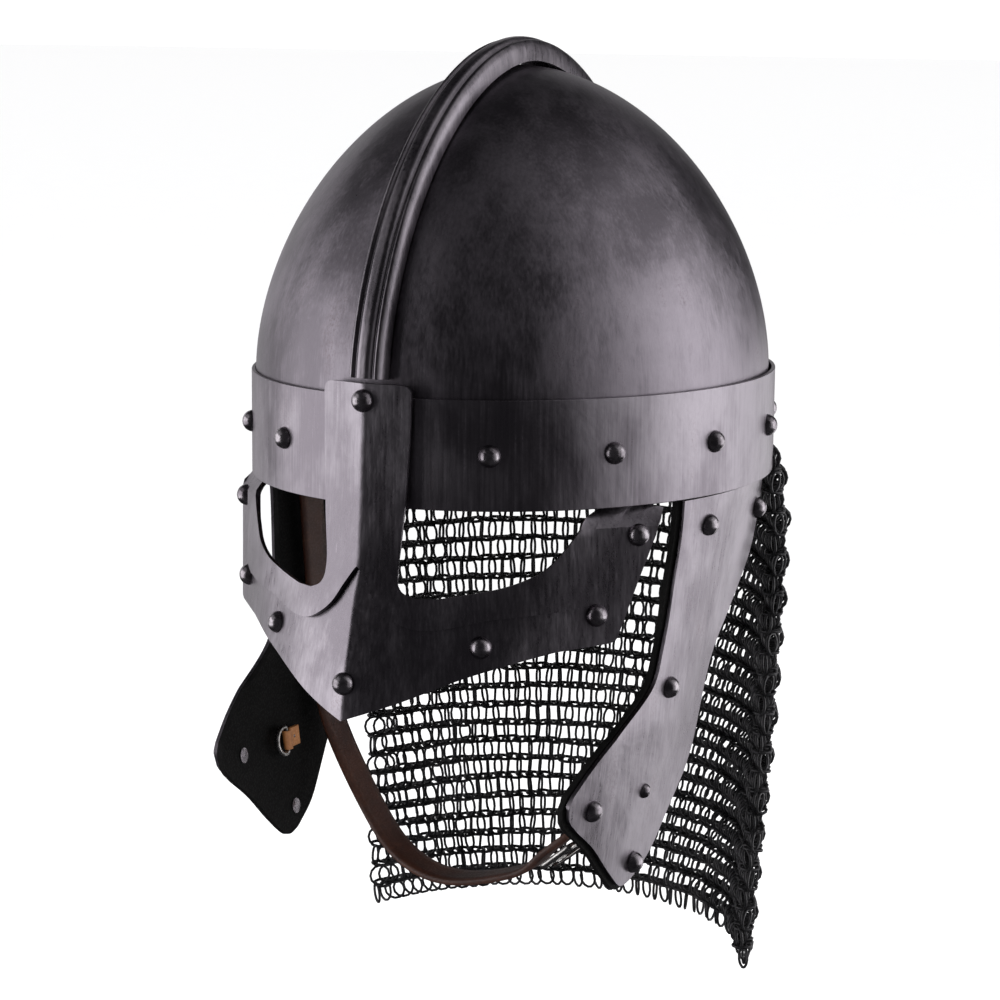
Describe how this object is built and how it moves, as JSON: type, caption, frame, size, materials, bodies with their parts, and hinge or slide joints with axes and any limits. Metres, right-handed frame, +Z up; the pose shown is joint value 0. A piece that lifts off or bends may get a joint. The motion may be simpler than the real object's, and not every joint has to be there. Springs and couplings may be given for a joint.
{
  "type": "riveted spectacle helmet",
  "caption": "Dark steel war helmet with comb, riveted brow band, spectacle and mouth plates, hinged cheek plates, mail neck curtain, leather liner and chin strap.",
  "frame": {"origin": "centre of the brow band, inside the liner, where the head is", "axes": "+Z up, face towards -Y, the wearer's left is +X"},
  "size_m": [0.2126, 0.2641, 0.3923],
  "materials": {
    "skull_steel": "dark browned, satin",
    "band_steel": "dark browned, satin",
    "comb_steel": "dark browned, satin",
    "face_steel": "dark browned, satin",
    "rivet_steel": "domed heads, polished",
    "mail_steel": "blackened wire",
    "ring_steel": "bright wire",
    "backing_leather": "black, waxed",
    "strap_leather": "red-brown, smooth",
    "tan_leather": "tan, smooth",
    "liner_leather": "dark brown, rough"
  },
  "bodies": {
    "shell": {"skull": "skull_steel", "brow_band": "band_steel", "comb": "comb_steel", "spectacle_plate": "face_steel", "mask_plate": "face_steel", "liner_front": "liner_leather", "liner_left": "liner_leather", "liner_back": "liner_leather", "liner_right": "liner_leather", "crown_pad": "liner_leather", "chin_strap_long": "strap_leather", "chin_strap_short": "strap_leather", "buckle_frame": "ring_steel", "hinge_leather_left": "backing_leather", "hinge_leather_right": "backing_leather", "mail_curtain": "mail_steel", "brow_rivet": "rivet_steel", "mask_rivet_chin": "rivet_steel", "strap_rivet_left": "rivet_steel", "strap_rivet_right": "rivet_steel", "band_rivet_01": "rivet_steel", "band_rivet_02": "rivet_steel", "band_rivet_03": "rivet_steel", "band_rivet_04": "rivet_steel", "band_rivet_05": "rivet_steel", "band_rivet_06": "rivet_steel", "band_rivet_07": "rivet_steel", "band_rivet_08": "rivet_steel", "band_rivet_09": "rivet_steel", "band_rivet_10": "rivet_steel", "band_rivet_11": "rivet_steel", "band_rivet_12": "rivet_steel", "band_rivet_13": "rivet_steel", "mask_rivet_low_left": "rivet_steel", "mask_rivet_low_right": "rivet_steel", "mask_rivet_corner_left": "rivet_steel", "mask_rivet_corner_right": "rivet_steel", "mask_rivet_arm_left": "rivet_steel", "mask_rivet_arm_right": "rivet_steel"},
    "cheek_left": {"cheek_plate_left": "face_steel", "cheek_leather_left": "backing_leather", "ring_tab_left": "tan_leather", "tab_rivet_left": "rivet_steel", "cheek_rivet_top_front_left": "rivet_steel", "cheek_rivet_top_back_left": "rivet_steel", "cheek_rivet_middle_left": "rivet_steel", "cheek_rivet_corner_left": "rivet_steel", "cheek_rivet_tip_left": "rivet_steel"},
    "cheek_right": {"cheek_plate_right": "face_steel", "cheek_leather_right": "backing_leather", "ring_tab_right": "tan_leather", "tab_rivet_right": "rivet_steel", "cheek_rivet_top_front_right": "rivet_steel", "cheek_rivet_top_back_right": "rivet_steel", "cheek_rivet_middle_right": "rivet_steel", "cheek_rivet_corner_right": "rivet_steel", "cheek_rivet_tip_right": "rivet_steel"},
    "ring_left": {"ring_left": "ring_steel"},
    "ring_right": {"ring_right": "ring_steel"},
    "tongue": {"buckle_tongue": "ring_steel"}
  },
  "joints": [
    {"name": "cheek_left_hinge", "type": "hinge", "parent": "shell", "child": "cheek_left", "pos_m": [0.1027, 0, -0.0216], "axis": [0, -1, 0], "range_deg": [0, 75]},
    {"name": "cheek_right_hinge", "type": "hinge", "parent": "shell", "child": "cheek_right", "pos_m": [-0.1027, 0, -0.0216], "axis": [0, 1, 0], "range_deg": [0, 75]},
    {"name": "ring_left_swing", "type": "hinge", "parent": "cheek_left", "child": "ring_left", "pos_m": [0.0775, -0.05594, -0.13696], "axis": [-0.1309, 0, -0.9914], "range_deg": [0, 150]},
    {"name": "ring_right_swing", "type": "hinge", "parent": "cheek_right", "child": "ring_right", "pos_m": [-0.0775, -0.05594, -0.13696], "axis": [-0.1309, 0, 0.9914], "range_deg": [0, 150]},
    {"name": "buckle_tongue_lift", "type": "hinge", "parent": "shell", "child": "tongue", "pos_m": [0.05073, -0.0355, -0.16713], "axis": [0, -1, 0], "range_deg": [0, 110]}
  ]
}
